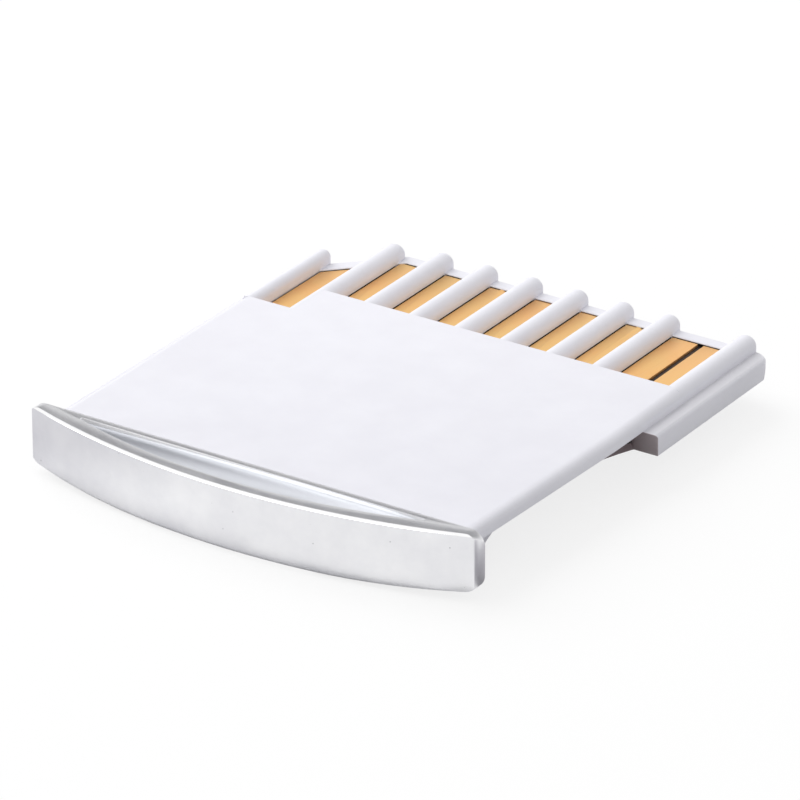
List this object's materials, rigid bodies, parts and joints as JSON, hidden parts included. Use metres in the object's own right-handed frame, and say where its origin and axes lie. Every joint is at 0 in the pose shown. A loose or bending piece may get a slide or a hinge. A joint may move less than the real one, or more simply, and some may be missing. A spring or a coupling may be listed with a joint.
{
  "type": "memory card adapter",
  "caption": "Short card adapter: white ribbed shell with gold contact pads, a side pocket with finger notch for a small card, and a bowed aluminium pull cap.",
  "frame": {"origin": "middle of the whole adapter's footprint, on the surface that the cap's underside rests on", "axes": "+Z out of the contact side, +Y towards the contact end, +X towards the pocket's open side"},
  "size_m": [0.0248, 0.0264, 0.0033],
  "materials": {
    "shell_white": "satin",
    "carrier_black": "matt",
    "contact_gold": "gold plated",
    "satin_aluminium": "satin, with a polished top edge"
  },
  "bodies": {
    "root": {"upper_shell": "shell_white", "lower_cover": "shell_white", "terminal_carrier": "carrier_black", "terminal_9": "contact_gold", "terminal_1": "contact_gold", "terminal_2": "contact_gold", "terminal_4": "contact_gold", "terminal_5": "contact_gold", "ground_terminal": "contact_gold", "terminal_7": "contact_gold", "terminal_8": "contact_gold", "end_cap": "satin_aluminium"}
  },
  "joints": []
}
